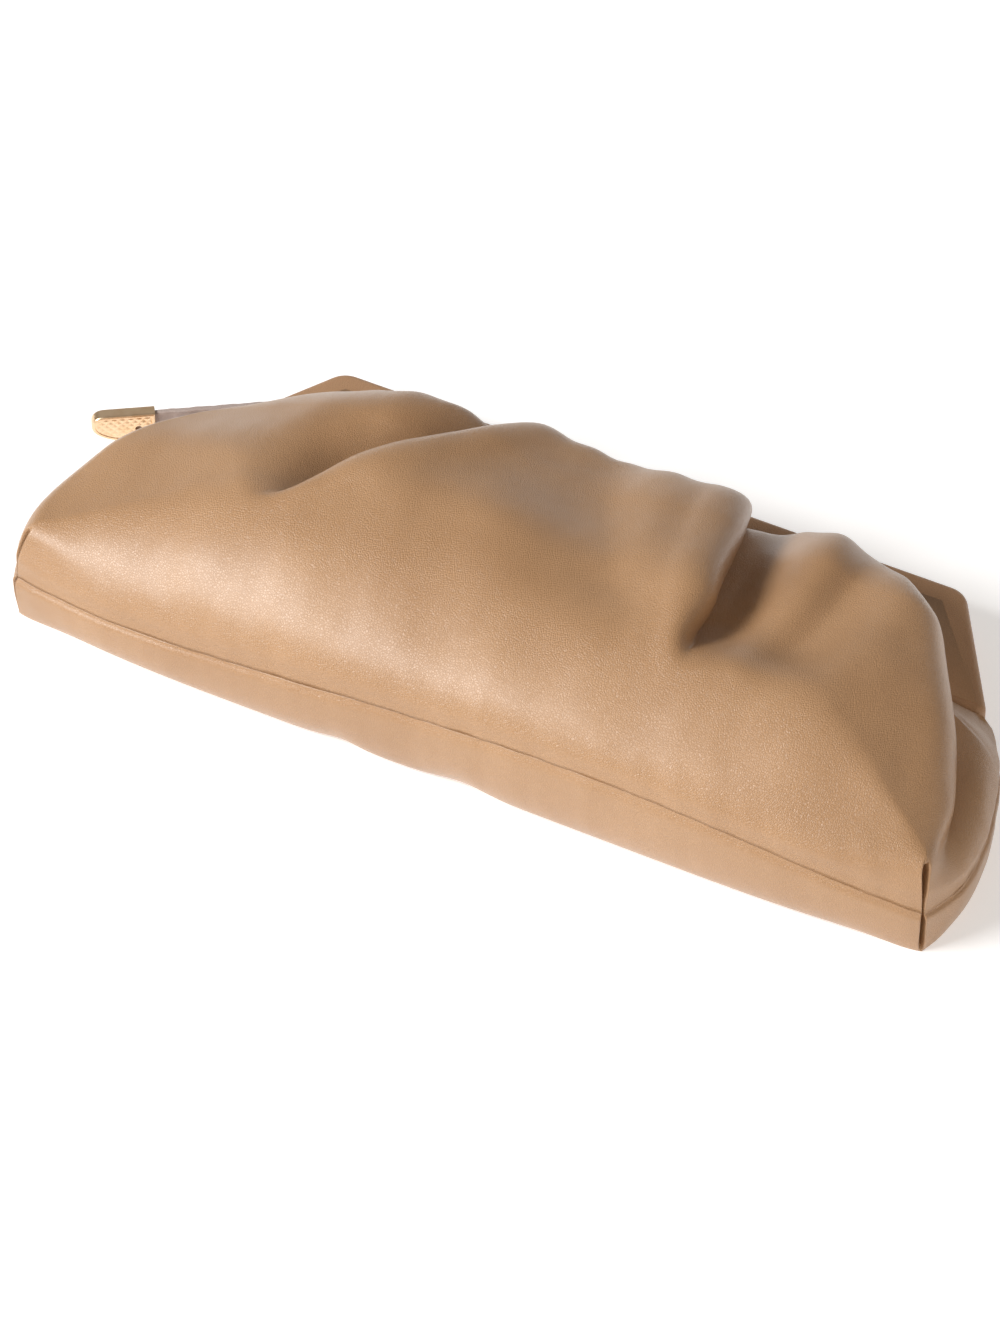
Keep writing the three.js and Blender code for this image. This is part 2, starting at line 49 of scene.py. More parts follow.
# Sizes of the soft body and the frame: millimetres, one share and one count. They are those of
# the solids, apart from the corner slit, which is narrower here.
BASE_LENGTH = 380.0
BODY_HEIGHT = 141.0
CROWN_HEIGHT = 77.0
LEATHER_WALL = 1.6
HINGE_HEIGHT = 103.0
ATTACH_SPAN = 272.0
SEAM_HEIGHT = 36.0
CORNER_SEAM_HEIGHT = 20.0
HINGE_SEAM_HEIGHT = 16.0
CORNER_TOP = 42.0
BASE_BOW = 9.0
SLIT_DEPTH = 7.0
SLIT_WIDTH = 1.3
REST_INSET = 9.0
BACK_TURN_SHARE = 0.55
HINGE_MARGIN = 5.0
GATHER_DEPTH = 0.8
GATHER_COUNT = 21
LEAST_RISE = 13.0
CLEARANCE = 0.3
FRAME_HEIGHT = 161.5
FRAME_THICKNESS = 8.0
MOUTH_GAP = 0.6
HINGE_SPAN = 337.0
MOUTH_SPAN = 268.0
FRAME_LEG_DROP = 11.5
FRAME_LEG_WIDTH = 48.0
FRAME_CORNER_RADIUS = 10.0
FRAME_LEG_ROUND = 3.5
PIN_RISE = 6.0

# Sizes of the strap and its metal end, in millimetres and degrees
STRAP_WIDTH = 12.6
STRAP_THICKNESS = 2.4
STRAP_LENGTH = 57.5
STRAP_ANGLE = 213.7
STRAP_ENTRY_HEIGHT = 136.0
TIP_LENGTH = 25.0
TIP_WIDTH = 14.4
TIP_THICKNESS = 5.4
TIP_SOCKET_DEPTH = 9.0
TIP_HOLE_DIAMETER = 2.8

# Shares of the body height that shape the filled front
MIDDLE_SHOULDER = 0.6
EDGE_SHOULDER = 0.1
LEFT_SHOULDER_GAIN = 0.24
RIGHT_SHOULDER_GAIN = 0.085
BASE_ROLL_REACH = 0.36
BACK_ROLL_SHARE = 0.24
PUFF_SHARE = 0.05
GATHER_FADE_SHARE = 0.3
FULL_SPAN_SHARE = 0.45

# Shares of the crown height and of the least rise
BASE_ROLL_DEPTH = 0.31
LEAST_BLEND = 1 / 3

# How the inset of the resting face changes along the seam, as shares of the rest inset
SIDE_INSET_GAIN = 0.55
CORNER_INSET_DROP = 0.8
SWELL_SHARE = 0.14

# Detail that the solids don't have, in millimetres: the lip turned in at the seam, the puckers
# beside it, and over each base corner a ridge with a hollow above it
SEAM_LIP = 1.4
SEAM_LIP_WIDTH = 1.2
PUCKER_DEPTH = 0.16
PUCKER_WIDTH = 7.0
RIDGE_SIZE = 1.5
RIDGE_HEIGHT = 40.0
RIDGE_WIDTH = 4.5
HOLLOW_SIZE = 2.2
HOLLOW_HEIGHT = 52.0
HOLLOW_WIDTH = 7.0

# Where ridge and hollow begin and where they are full, and how strong they are at the left
RIGHT_LEDGE_X = (105.0, 182.0)
LEFT_LEDGE_X = (-150.0, -186.0)
LEDGE_Y = (60.0, 20.0)
LEFT_LEDGE_SHARE = 0.8

# Points lower than this, in millimetres, count as lying on the floor
FLOOR_CONTACT = 0.01

# Fineness of the leather pieces: columns along the seam, rows from the seam to the frame, and
# how many outer rows there are to one inner row
FRONT_COLUMNS = 560
FRONT_ROWS = 132
FRONT_INNER_STEP = 6
BACK_COLUMNS = 520
BACK_SIDE_ROWS = 44
BACK_FLOOR_ROWS = 10
BACK_INNER_STEP = 4

HALF_BASE = BASE_LENGTH / 2
HALF_ATTACH = ATTACH_SPAN / 2
SIDE_BULGE = 1.02
LEG_SHARE = 0.75
SIDE_PATH = HINGE_HEIGHT * SIDE_BULGE
RIM_PATH = HALF_BASE + SIDE_PATH
CORNER_SHARE = HALF_BASE / RIM_PATH
ARCH_SHARE = CORNER_SHARE + LEG_SHARE * (1 - CORNER_SHARE)
FRAME_FLOOR = LEATHER_WALL + CLEARANCE
FRAME_SPLIT = FRAME_FLOOR + FRAME_THICKNESS
FRAME_TOP = FRAME_SPLIT + MOUTH_GAP + FRAME_THICKNESS
ATTACH_HEIGHT = FRAME_TOP + CLEARANCE
FRAME_LEG_END = HINGE_HEIGHT + 5 * CLEARANCE

# The body's own axes start at the middle of the base seam, on the floor
left_pin_low, left_pin_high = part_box("left_hinge_pin")
right_pin_low, right_pin_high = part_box("right_hinge_pin")
MIDDLE_X = (left_pin_low[0] + right_pin_high[0]) / 2
BASE_Y = (left_pin_low[1] + left_pin_high[1]) / 2 - (FRAME_LEG_END + PIN_RISE) * MM

# Base seam: place as a share of the half base, height as a share of the seam's rise
BASE_SEAM = (
    (-1.00, 0.00), (-0.90, 0.06), (-0.63, 0.25), (-0.32, 0.60), (0.00, 0.92),
    (0.32, 1.05), (0.63, 0.82), (0.86, 0.40), (1.00, 0.00),
)

# Side outline from the base corner to the hinge: rise as a share of the hinge height, reach
# as a share of the half base, height of the seam from corner (0) to hinge (1)
SIDE_OUTLINE = (
    (0.00, 1.000, 0.00), (0.10, 1.022, 0.15), (0.24, 1.036, 0.30), (0.43, 1.028, 0.50),
    (0.59, 1.006, 0.65), (0.76, 0.975, 0.78), (0.90, 0.934, 0.90), (0.98, 0.905, 1.00),
)

# Top of the filled front: place as a share of the half base, height and fall towards the
# frame as shares of the crown height. At 0.53 and 0.68 it falls more than in the solids.
CROWN_LINE = (
    (-1.05, 0.43, 0.02), (-1.00, 0.52, 0.05), (-0.92, 0.595, 0.14), (-0.82, 0.67, 0.20),
    (-0.68, 0.79, 0.19), (-0.55, 0.90, 0.17), (-0.37, 0.97, 0.10), (-0.16, 0.98, 0.18),
    (0.00, 0.99, 0.18), (0.16, 1.00, 0.18), (0.37, 0.98, 0.17), (0.53, 0.96, 0.04),
    (0.68, 0.91, 0.035), (0.79, 0.82, 0.06), (0.90, 0.69, 0.05), (1.00, 0.55, 0.00),
    (1.05, 0.49, 0.00),
)

# Folds in plan: left pleat, right pleat, right side fold, centre hollow, right valley. Each
# follows a curve from start through bend to end, as shares of the half base and the body
# height. Depth, lean and lip are shares of the crown height, steep and gentle the widths of
# the two walls as shares of the body height, and grown is the share of the curve over which
# the fold deepens. Side 1 puts the steep wall to the left of the curve. Against the solids
# both pleats are steeper, the right one has a higher lip and a slightly wider gentle side,
# and the right valley is shallower.
FOLDS = (
    dict(start=(-0.59, 0.28), bend=(-0.41, 0.47), end=(-0.21, 0.94), depth=0.32, steep=0.040,
         gentle=0.17, side=-1, lean=0.105, lip=0.03, grown=0.5),
    dict(start=(0.42, 0.20), bend=(0.345, 0.50), end=(0.27, 1.00), depth=0.27, steep=0.034,
         gentle=0.20, side=1, lean=0.13, lip=0.045, grown=0.42),
    dict(start=(1.01, 0.00), bend=(1.00, 0.30), end=(0.775, 0.76), depth=0.34, steep=0.050,
         gentle=0.20, side=1, lean=0.08, lip=0.0, grown=0.45),
    dict(start=(0.30, 0.20), bend=(0.10, 0.50), end=(0.00, 0.86), depth=0.10, steep=0.11,
         gentle=0.17, side=-1, lean=0.0, lip=0.0, grown=0.4),
    dict(start=(0.50, 0.24), bend=(0.61, 0.41), end=(0.59, 0.85), depth=0.115, steep=0.085,
         gentle=0.11, side=1, lean=0.01, lip=0.0, grown=0.5),
)

# Dents in the lower edge of the back: place and width as shares of the half base, depth as a
# share of the rest inset
BACK_DENTS = ((-0.25, 0.05, 0.28), (0.02, 0.07, 0.36))


def ease(low, high, value):
    """Smooth step from 0 at low to 1 at high."""
    t = np.clip((value - low) / (high - low), 0, 1)
    return t * t * (3 - 2 * t)


def bell(distance, width):
    """Bell curve of height 1."""
    return np.exp(-(distance / width) ** 2)


def read_table(rows, column, value):
    """Smooth curve through a table's rows: the first column is the place."""
    place = np.array([row[0] for row in rows])
    height = np.array([row[column] for row in rows])
    padded_place = np.concatenate([place[:1], place, place[-1:]])
    padded_height = np.concatenate([height[:1], height, height[-1:]])
    slope = (padded_height[2:] - padded_height[:-2]) / (padded_place[2:] - padded_place[:-2])
    i = np.clip(np.searchsorted(place, value) - 1, 0, len(place) - 2)
    span = place[i + 1] - place[i]
    t = np.clip((value - place[i]) / span, 0, 1)
    rise = 3 * t**2 - 2 * t**3
    return (
        (1 - rise) * height[i] + rise * height[i + 1]
        + (t**3 - 2 * t**2 + t) * span * slope[i] + (t**3 - t**2) * span * slope[i + 1]
    )


def seam_line(share):
    """The seam from the left hinge (-1) round the base to the right hinge (1)."""
    sign = np.where(share < 0, -1.0, 1.0)
    along = np.abs(share) * RIM_PATH
    x_base = np.minimum(along, HALF_BASE)
    rise_base = read_table(BASE_SEAM, 1, sign * x_base / HALF_BASE)
    z_base = CORNER_SEAM_HEIGHT + (SEAM_HEIGHT - CORNER_SEAM_HEIGHT) * rise_base
    y_base = -BASE_BOW * (1 - (x_base / HALF_BASE) ** 6)
    rise = 0.98 * np.clip(along - HALF_BASE, 0, None) / SIDE_PATH
    x_side = HALF_BASE * read_table(SIDE_OUTLINE, 1, rise)
    fall = read_table(SIDE_OUTLINE, 2, rise)
    z_side = CORNER_SEAM_HEIGHT + (HINGE_SEAM_HEIGHT - CORNER_SEAM_HEIGHT) * fall
    on_base = along <= HALF_BASE
    x = sign * np.where(on_base, x_base, x_side)
    y = np.where(on_base, y_base, rise * HINGE_HEIGHT)
    return x, y, np.where(on_base, z_base, z_side)


def attach_line(share):
    """Where the leather is fastened to the frame, in plan."""
    size = np.abs(share)
    turn = np.minimum(1, size / ARCH_SHARE) ** 1.6 * math.pi / 2
    out = np.clip((size - ARCH_SHARE) / (1 - ARCH_SHARE), 0, None)
    hinge_reach = seam_line(np.array(1.0))[0] - HINGE_MARGIN
    x = HALF_ATTACH * np.sin(turn) ** (2 / 3) + (hinge_reach - HALF_ATTACH) * out
    lift = np.clip(np.cos(turn), 0, 1) ** (2 / 3)
    return np.sign(share) * x, HINGE_HEIGHT + (BODY_HEIGHT - HINGE_HEIGHT) * lift


def crown(x, y):
    """Height of the filled front over a place in plan, before folds."""
    along = x / HALF_BASE
    height = read_table(CROWN_LINE, 1, along)
    fall = read_table(CROWN_LINE, 2, along)
    near_base = np.clip(BASE_ROLL_REACH - y / BODY_HEIGHT, 0, None)
    roll = BASE_ROLL_DEPTH * near_base**2 * (1 - np.minimum(1, np.abs(along) * 0.97) ** 4)
    return CROWN_HEIGHT * (height - fall * ease(0.42, 0.88, y / BODY_HEIGHT) - roll)


def fold_place(fold, x, y):
    """Distance to the left of a fold's middle line, share run, left direction and overrun."""
    steps = 24
    t = np.linspace(0, 1, steps + 1)[:, None]
    scale = np.array([HALF_BASE, BODY_HEIGHT])
    start, bend, end = (np.array(fold[key]) * scale for key in ("start", "bend", "end"))
    line = (1 - t) ** 2 * start + 2 * t * (1 - t) * bend + t**2 * end
    best = np.full(x.shape, np.inf)
    left, run_share, over = np.zeros((3,) + x.shape)
    normal_x, normal_y = np.zeros((2,) + x.shape)
    for i in range(steps):
        step = line[i + 1] - line[i]
        length = np.hypot(*step)
        step = step / length
        dx = x - line[i][0]
        dy = y - line[i][1]
        run = dx * step[0] + dy * step[1]
        held = np.clip(run, 0, length)
        distance = np.hypot(dx - held * step[0], dy - held * step[1])
        nearer = distance < best
        is_end = ((run < 0) & (i == 0)) | ((run > length) & (i == steps - 1))
        best = np.where(nearer, distance, best)
        left = np.where(nearer, dy * step[0] - dx * step[1], left)
        run_share = np.where(nearer, (i + held / length) / steps, run_share)
        normal_x = np.where(nearer, -step[1], normal_x)
        normal_y = np.where(nearer, step[0], normal_y)
        over = np.where(nearer, np.where(is_end, np.abs(run - held), 0), over)
    return left, run_share, normal_x, normal_y, over


def fold_shift(x, y):
    """How the folds push the front: sideways in plan, and down."""
    shift_x, shift_y, shift_z = np.zeros((3,) + x.shape)
    for fold in FOLDS:
        left, run, normal_x, normal_y, over = fold_place(fold, x, y)
        across = -fold["side"] * left
        amount = ease(0, fold["grown"], run) * bell(over, 0.1 * BODY_HEIGHT)
        steep = fold["steep"] * BODY_HEIGHT
        width = np.where(across < 0, steep, fold["gentle"] * BODY_HEIGHT)
        lip = fold["lip"] * bell(across + 1.6 * steep, 1.2 * steep)
        shift_z += amount * CROWN_HEIGHT * (lip - fold["depth"] * bell(across, width))
        lean = bell(across + steep, 0.9 * steep) - 0.55 * bell(across - 0.25 * steep, 0.8 * steep)
        sideways = -fold["side"] * amount**2 * CROWN_HEIGHT * fold["lean"] * lean
        shift_x += sideways * normal_x
        shift_y += sideways * normal_y
    return shift_x, shift_y, shift_z


def shoulder_reach(share):
    """How far in from the seam the front takes to reach its full height."""
    size = np.abs(share)
    drop = MIDDLE_SHOULDER - EDGE_SHOULDER
    base = MIDDLE_SHOULDER - drop * np.minimum(1, size / CORNER_SHARE) ** 3.2
    up = ease(0, 0.6, (size - CORNER_SHARE) / (1 - CORNER_SHARE))
    side = EDGE_SHOULDER + np.where(share < 0, LEFT_SHOULDER_GAIN, RIGHT_SHOULDER_GAIN) * up
    return BODY_HEIGHT * np.where(size < CORNER_SHARE, base, side)


def slit_strength(z):
    """How strongly the corner slit shows at a height."""
    closed_above = 1 - ease(0.86 * CORNER_TOP, CORNER_TOP, z)
    return ease(0, 0.3 * CORNER_SEAM_HEIGHT, z) * closed_above


def cut_slit(points, share, strength, widen):
    """The tucked corner: a narrow slit that runs up across the seam."""
    from_corner = (np.abs(share) - CORNER_SHARE) * RIM_PATH
    depth = (SLIT_DEPTH + widen) * strength * bell(from_corner, SLIT_WIDTH / 2 + widen)
    points[..., 0] -= np.sign(share) * depth
    points[..., 1] += depth


def front_surface(share, rise):
    """Outer face of the front. rise runs from 0 at the seam to 1 at the frame."""
    seam_x, seam_y, seam_z = seam_line(share)
    attach_x, attach_y = attach_line(share)
    run_x = attach_x - seam_x
    run_y = attach_y - seam_y
    span = np.hypot(run_x, run_y)
    x = seam_x + run_x * rise
    y = seam_y + run_y * rise
    low = seam_z + (ATTACH_HEIGHT - seam_z) * rise
    rolled = np.minimum(1, rise / np.minimum(0.95, shoulder_reach(share) / span))
    up = np.sqrt(np.clip(1 - (1 - rolled) ** 2, 0, None))
    back_roll = np.minimum(0.9, BACK_ROLL_SHARE * BODY_HEIGHT / span)
    over = np.clip((rise - 1 + back_roll) / back_roll, 0, None)
    lift = up * np.sqrt(np.clip(1 - over**2, 0, None))
    full = ease(0, FULL_SPAN_SHARE * BODY_HEIGHT, span)
    gather = GATHER_DEPTH * over**2 * np.sin(math.pi * GATHER_COUNT * share)
    gather *= ease(0, GATHER_FADE_SHARE * BODY_HEIGHT, span)
    puff = (PUFF_SHARE * BODY_HEIGHT * np.sin(math.pi * over**2) + gather) * full / span
    shift_x, shift_y, shift_z = fold_shift(x, y)
    z = low + (crown(x, y) - low) * lift * full
    x = x + shift_x * lift * full + puff * run_x
    y = y + shift_y * lift * full + puff * run_y
    least = low + LEAST_RISE * lift * full
    z = z + shift_z * lift * full
    z = (z + least + np.hypot(z - least, LEAST_BLEND * LEAST_RISE * lift * full)) / 2
    return np.stack([x, y, z], -1)


def back_surface(share, rise):
    """Outer face of the back: down from the seam to the floor, then in to the frame."""
    seam_x, seam_y, seam_z = seam_line(share)
    attach_x, attach_y = attach_line(share)
    span = np.hypot(attach_x - seam_x, attach_y - seam_y)
    turn = np.minimum(1, rise / BACK_TURN_SHARE) * math.pi / 2
    on_floor = np.clip((rise - BACK_TURN_SHARE) / (1 - BACK_TURN_SHARE), 0, 1)
    corner = bell((np.abs(share) - CORNER_SHARE) * RIM_PATH, 0.1 * HALF_BASE)
    side = ease(CORNER_SHARE, 1, np.abs(share))
    inset = REST_INSET * (1 + SIDE_INSET_GAIN * side) * (1 - CORNER_INSET_DROP * corner)
    inset = np.minimum(inset, 0.5 * span)
    swell = SWELL_SHARE * REST_INSET * np.sin(2 * turn) * (1 - corner)
    dent = np.zeros_like(turn)
    on_base = np.abs(share) < CORNER_SHARE
    for along, width, depth in BACK_DENTS:
        dent = dent + on_base * depth * REST_INSET * bell(seam_x / HALF_BASE - along, width)
    inward = inset * (1 - np.cos(turn)) - swell + dent * np.sin(turn) ** 3
    reach = inward + (span - inward) * on_floor
    z = (seam_z - CLEARANCE) * (1 - np.clip(np.sin(turn), 0, 1) ** 0.9)
    x = seam_x + (attach_x - seam_x) * reach / span
    y = seam_y + (attach_y - seam_y) * reach / span
    return np.stack([x, y, z], -1)


def grid_normals(grid, facing):
    """Unit directions out of a grid: level at the seam, straight down on the floor."""
    along = np.gradient(grid, axis=1)
    across = np.gradient(grid, axis=0)
    normals = np.cross(along, across) * facing
    normals[0, :, 2] = 0
    normals /= np.maximum(np.linalg.norm(normals, axis=-1, keepdims=True), 1e-9)
    normals[grid[..., 2] < FLOOR_CONTACT] = (0, 0, -1)
    return normals


def to_world(points):
    """Body millimetres to metres in the row frame."""
    return points * MM + np.array([MIDDLE_X, BASE_Y, 0.0])


def new_mesh_object(name, vertices, faces, smooth=True):
    """A mesh object from arrays, linked to the scene."""
    mesh = bpy.data.meshes.new(name)
    mesh.from_pydata([tuple(v) for v in vertices], [], faces)
    mesh.validate()
    mesh.update()
    if smooth:
        mesh.polygons.foreach_set("use_smooth", [True] * len(mesh.polygons))
    piece = bpy.data.objects.new(name, mesh)
    bpy.context.scene.collection.objects.link(piece)
    return piece


def waves(x, y, seed, shortest, longest, count=9):
    """Soft unevenness of about unit size: waves of several lengths and directions."""
    source = np.random.default_rng(seed)
    total = np.zeros_like(x)
    for _ in range(count):
        length = source.uniform(shortest, longest)
        turn = source.uniform(0, math.pi)
        phase = source.uniform(0, 2 * math.pi)
        place = x * math.cos(turn) + y * math.sin(turn)
        total += np.sin(2 * math.pi * place / length + phase)
    return total / math.sqrt(count)


def leather_shell(name, shares, rises, surface, facing, soften, inner_step):
    """A leather panel of one wall: a fine outer face, and a coarser inner face behind it."""
    share, rise = np.meshgrid(shares, rises)
    grid = surface(share, rise)
    normals = grid_normals(grid, facing)
    grid = grid + normals * soften(rise, grid)[..., None]
    rows, columns = share.shape
    inner_rows = sorted(set(range(0, rows, inner_step)) | {rows - 1})
    layers = []
    for widen, picked in ((0.0, range(rows)), (LEATHER_WALL, inner_rows)):
        picked = list(picked)
        points = grid[picked] - widen * normals[picked]
        strength = slit_strength(grid[picked][..., 2])
        cut_slit(points, share[picked], strength, widen)
        layers.append(points.reshape(-1, 3))
    vertices = to_world(np.concatenate(layers))
    outer = np.arange(rows * columns).reshape(rows, columns)
    inner = rows * columns + np.arange(len(inner_rows) * columns).reshape(-1, columns)

    def quads(ids, flip):
        corners = np.stack([ids[:-1, :-1], ids[:-1, 1:], ids[1:, 1:], ids[1:, :-1]], -1)
        corners = corners.reshape(-1, 4)
        return (corners[:, ::-1] if flip else corners).tolist()

    faces = quads(outer, facing < 0) + quads(inner, facing > 0)
    seam_edge = np.stack([inner[0], outer[0]])
    frame_edge = np.stack([outer[-1], inner[-1]])
    faces += quads(seam_edge, facing < 0) + quads(frame_edge, facing < 0)
    for column, flip in ((0, facing > 0), (columns - 1, facing < 0)):
        for k in range(len(inner_rows) - 1):
            low, high = inner_rows[k], inner_rows[k + 1]
            ring = outer[low:high + 1, column].tolist()
            ring += [int(inner[k + 1, column]), int(inner[k, column])]
            faces.append(ring if flip else ring[::-1])
    return new_mesh_object(name, vertices, faces)


def crowded_line(low, high, count, places, extra, width):
    """Numbers from low to high, closer together near some places."""
    fine = np.linspace(low, high, 4001)
    density = np.ones_like(fine)
    for place in places:
        density += extra * bell(fine - place, width)
    total = np.concatenate([[0], np.cumsum((density[1:] + density[:-1]) / 2)])
    return np.interp(np.linspace(0, total[-1], count), total, fine)


def panel_shares(count):
    """Columns: close together at the corner slits."""
    places = (-CORNER_SHARE, CORNER_SHARE)
    return crowded_line(-1, 1, count, places, extra=9.0, width=5 / RIM_PATH)


def front_panel():
    """Front leather: a lip turned in at the seam, slight unevenness, ledges at the corners."""
    def soften(rise, grid):
        x, y, z = np.moveaxis(grid, -1, 0)
        from_seam = rise * BODY_HEIGHT
        lip = -SEAM_LIP * bell(from_seam, SEAM_LIP_WIDTH)
        puckers = waves(x, y, seed=3, shortest=9, longest=19)
        pucker = PUCKER_DEPTH * bell(from_seam, PUCKER_WIDTH) * puckers
        slow = waves(x, y, seed=11, shortest=34, longest=95)
        quick = waves(x, y, seed=5, shortest=9, longest=22)
        uneven = 0.32 * slow + 0.06 * quick
        body = ease(0, 20, from_seam) * uneven
        keep = ease(0, 12, (1 - rise) * BODY_HEIGHT)
        near_right = ease(*RIGHT_LEDGE_X, x) * ease(*LEDGE_Y, y)
        near_left = ease(*LEFT_LEDGE_X, x) * ease(*LEDGE_Y, y)
        ridge = RIDGE_SIZE * bell(z - RIDGE_HEIGHT, RIDGE_WIDTH)
        hollow = HOLLOW_SIZE * bell(z - HOLLOW_HEIGHT, HOLLOW_WIDTH)
        near_corner = near_right + LEFT_LEDGE_SHARE * near_left
        return (lip + pucker + body) * keep + (ridge - hollow) * near_corner

    rises = crowded_line(0, 1, FRONT_ROWS, (0.0,), extra=14.0, width=0.012)
    shares = panel_shares(FRONT_COLUMNS)
    return leather_shell(
        "front_leather", shares, rises, front_surface, 1, soften, FRONT_INNER_STEP,
    )


def back_panel():
    """Back leather: the strip under the seam and the face that the bag lies on."""
    def soften(rise, grid):
        x, y, z = np.moveaxis(grid, -1, 0)
        from_seam = np.clip(rise / BACK_TURN_SHARE, 0, 1) * SEAM_HEIGHT
        lip = -SEAM_LIP * bell(from_seam, SEAM_LIP_WIDTH)
        slow = waves(x, y, seed=8, shortest=25, longest=70)
        quick = waves(x, y, seed=9, shortest=8, longest=18)
        uneven = 0.25 * slow + 0.1 * quick
        return lip + ease(3, 12, z) * uneven

    side = crowded_line(0, BACK_TURN_SHARE, BACK_SIDE_ROWS, (0.0,), extra=8.0, width=0.02)
    floor = np.linspace(BACK_TURN_SHARE, 1, BACK_FLOOR_ROWS)[1:]
    rises = np.concatenate([side, floor])
    shares = panel_shares(BACK_COLUMNS)
    return leather_shell(
        "back_leather", shares, rises, back_surface, -1, soften, BACK_INNER_STEP,
    )


def rounded_ring(corners, inset, steps=8):
    """Points round an outline with rounded corners, moved in by inset."""
    points = []
    for i, (x, y, radius) in enumerate(corners):
        corner = np.array([x, y])
        before = np.array(corners[i - 1][:2])
        after = np.array(corners[(i + 1) % len(corners)][:2])
        back = (before - corner) / np.linalg.norm(before - corner)
        ahead = (after - corner) / np.linalg.norm(after - corner)
        half = math.acos(float(np.clip(back @ ahead, -1, 1))) / 2
        is_hollow = back[0] * ahead[1] - back[1] * ahead[0] > 0
        middle = (back + ahead) / np.linalg.norm(back + ahead)
        centre = corner + middle * radius / math.sin(half)
        start = corner + back * radius / math.tan(half) - centre
        end = corner + ahead * radius / math.tan(half) - centre
        first = math.atan2(start[1], start[0])
        turn = math.atan2(end[1], end[0]) - first
        turn = (turn + math.pi) % (2 * math.pi) - math.pi
        arc = radius + inset if is_hollow else radius - inset
        for k in range(steps + 1):
            angle = first + turn * k / steps
            points.append(centre + max(arc, 0.05) * np.array([math.cos(angle), math.sin(angle)]))
    return np.array(points)


def frame_corners():
    """The frame's outline, anticlockwise: x, y and rounding radius of each corner."""
    leg = HINGE_SPAN / 2 - FRAME_LEG_WIDTH
    bar = FRAME_LEG_END + FRAME_LEG_DROP
    side = HINGE_SPAN / 2
    top = MOUTH_SPAN / 2
    return (
        (leg, FRAME_LEG_END, FRAME_LEG_ROUND), (side, FRAME_LEG_END, FRAME_LEG_ROUND),
        (top, FRAME_HEIGHT, FRAME_CORNER_RADIUS), (-top, FRAME_HEIGHT, FRAME_CORNER_RADIUS),
        (-side, FRAME_LEG_END, FRAME_LEG_ROUND), (-leg, FRAME_LEG_END, FRAME_LEG_ROUND),
        (-leg, bar, FRAME_LEG_ROUND), (leg, bar, FRAME_LEG_ROUND),
    )


def quarter_round(radius, steps):
    """Inset and depth along a rounded edge, from its side to its face."""
    points = []
    for k in range(steps + 1):
        angle = k / steps * math.pi / 2
        points.append((radius * (1 - math.cos(angle)), radius * (1 - math.sin(angle))))
    return points


def tube_faces(first, count, rings):
    """Four-sided faces between rings of count points each, from one vertex on."""
    faces = []
    for ring in range(rings - 1):
        near = first + ring * count
        far = near + count
        for i in range(count):
            k = (i + 1) % count
            faces.append([near + i, near + k, far + k, far + i])
    return faces


def frame_half(name, low, high, outer_sign):
    """Leather-covered half of the frame: soft edges outside, a small edge at the mouth."""
    corners = frame_corners()
    outer_round = 3.0
    mouth_round = 1.0
    crown_width = 13.0
    crown_rise = 0.15
    padding_steps = 8
    padding = []
    for k in range(padding_steps, 0, -1):
        in_from_edge = crown_width * k / padding_steps
        rise = crown_rise * math.sin(in_from_edge / crown_width * math.pi / 2)
        padding.append((outer_round + in_from_edge, -rise))
    layers = []
    for inset, depth in padding + quarter_round(outer_round, 6)[::-1]:
        z = high - depth if outer_sign > 0 else low + depth
        layers.append((inset, z))
    for inset, depth in quarter_round(mouth_round, 3):
        z = low + depth if outer_sign > 0 else high - depth
        layers.append((inset, z))
    points = []
    for inset, z in layers:
        ring = rounded_ring(corners, inset)
        points.append(np.column_stack([ring, np.full(len(ring), z)]))
    count = len(points[0])
    vertices = to_world(np.concatenate(points))
    faces = tube_faces(0, count, len(layers))
    faces.append(list(range(count))[::-1])
    faces.append([(len(layers) - 1) * count + i for i in range(count)])
    if outer_sign > 0:
        faces = [face[::-1] for face in faces]
    return new_mesh_object(name, vertices, faces)


def place_on_strap(points, start):
    """Points along, across and up the strap, put on the line where it leaves the frame."""
    turn = math.radians(STRAP_ANGLE)
    run = np.array([math.cos(turn), math.sin(turn), 0.0])
    side = np.array([-math.sin(turn), math.cos(turn), 0.0])
    rise = (STRAP_ENTRY_HEIGHT - FRAME_LEG_END) / (FRAME_HEIGHT - FRAME_LEG_END)
    exit_x = -(HINGE_SPAN / 2 + rise * (MOUTH_SPAN - HINGE_SPAN) / 2)
    origin = np.array([exit_x, STRAP_ENTRY_HEIGHT, FRAME_FLOOR + CLEARANCE + TIP_WIDTH / 2])
    along, across, up = np.moveaxis(np.asarray(points, float), -1, 0)
    placed = (along + start)[..., None] * run + across[..., None] * side
    placed[..., 2] += up
    return to_world(placed + origin)


def strap_end():
    """Visible end of the strap: soft edges and a slight wave along it."""
    edge = 0.6
    sections = []
    steps = 60
    for k in range(steps + 1):
        along = STRAP_LENGTH * k / steps
        wave = 0.12 * math.sin(along * 0.55) + 0.08 * math.sin(along * 1.3)
        ring = []
        for corner_y, corner_z in ((1, 1), (-1, 1), (-1, -1), (1, -1)):
            for j in range(5):
                angle = math.atan2(corner_z, corner_y) - math.pi / 4 + j / 4 * math.pi / 2
                y = corner_y * (STRAP_THICKNESS / 2 - edge) + edge * math.cos(angle)
                z = corner_z * (STRAP_WIDTH / 2 - edge) + edge * math.sin(angle)
                ring.append((along, y + wave, z))
        sections.append(ring)
    count = len(sections[0])
    vertices = place_on_strap(np.array(sections).reshape(-1, 3), 0.0)
    faces = tube_faces(0, count, steps + 1)
    faces.append(list(range(count))[::-1])
    faces.append([steps * count + i for i in range(count)])
    return new_mesh_object("strap_leather_end", vertices, faces)


